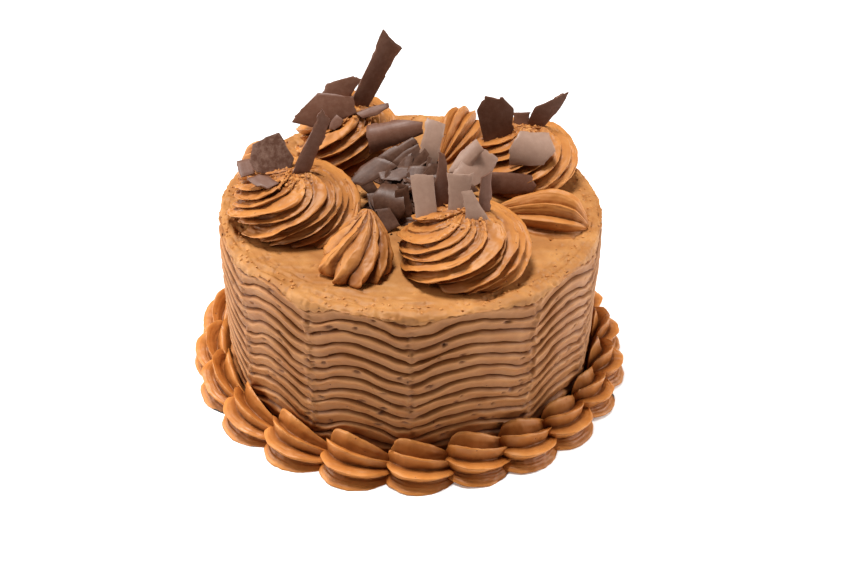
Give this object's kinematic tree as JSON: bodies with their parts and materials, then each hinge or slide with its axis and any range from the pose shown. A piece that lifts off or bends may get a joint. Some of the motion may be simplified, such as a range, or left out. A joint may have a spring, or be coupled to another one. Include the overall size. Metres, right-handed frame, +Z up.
{
  "type": "chocolate cake",
  "caption": "Round whole cake in chocolate buttercream with combed wavy sides, a piped shell border, swirled rosettes on top and broken dark chocolate shards.",
  "frame": {"origin": "centre of the cake's flat underside, on the surface that it rests on", "axes": "+Z up, -Y towards the side seen in the picture, +X to that side's right"},
  "size_m": [0.2272, 0.2281, 0.1684],
  "materials": {
    "frosting": "satin chocolate buttercream",
    "chocolate": "satin dark chocolate"
  },
  "bodies": {
    "root": {"cake_body": "frosting", "border_shell_01": "frosting", "border_shell_02": "frosting", "border_shell_03": "frosting", "border_shell_04": "frosting", "border_shell_05": "frosting", "border_shell_06": "frosting", "border_shell_07": "frosting", "border_shell_08": "frosting", "border_shell_09": "frosting", "border_shell_10": "frosting", "border_shell_11": "frosting", "border_shell_12": "frosting", "border_shell_13": "frosting", "border_shell_14": "frosting", "border_shell_15": "frosting", "border_shell_16": "frosting", "border_shell_17": "frosting", "border_shell_18": "frosting", "border_shell_19": "frosting", "border_shell_20": "frosting", "border_shell_21": "frosting", "border_shell_22": "frosting", "rosette_front": "frosting", "rosette_left": "frosting", "rosette_back": "frosting", "rosette_right": "frosting", "top_shell_front": "frosting", "top_shell_right": "frosting", "top_shell_back": "frosting", "top_shell_left": "frosting", "shard_left_plate": "chocolate", "shard_left_stick": "chocolate", "shard_left_flat": "chocolate", "shard_left_side": "chocolate", "shard_back_stick": "chocolate", "shard_back_point": "chocolate", "shard_back_plate": "chocolate", "shard_back_low": "chocolate", "shard_back_bit": "chocolate", "shard_back_curl": "chocolate", "shard_right_plate": "chocolate", "shard_right_point": "chocolate", "shard_right_curl": "chocolate", "shard_right_bit": "chocolate", "shard_right_low": "chocolate", "shard_front_plate": "chocolate", "shard_front_point": "chocolate", "shard_front_wide": "chocolate", "shard_front_tail": "chocolate", "shard_front_upright": "chocolate", "shard_middle_long": "chocolate", "shard_middle_fold": "chocolate", "shard_middle_wide": "chocolate", "shard_middle_curl": "chocolate", "shard_middle_plate": "chocolate", "shard_middle_stick": "chocolate", "shard_heap": "chocolate"}
  },
  "joints": []
}
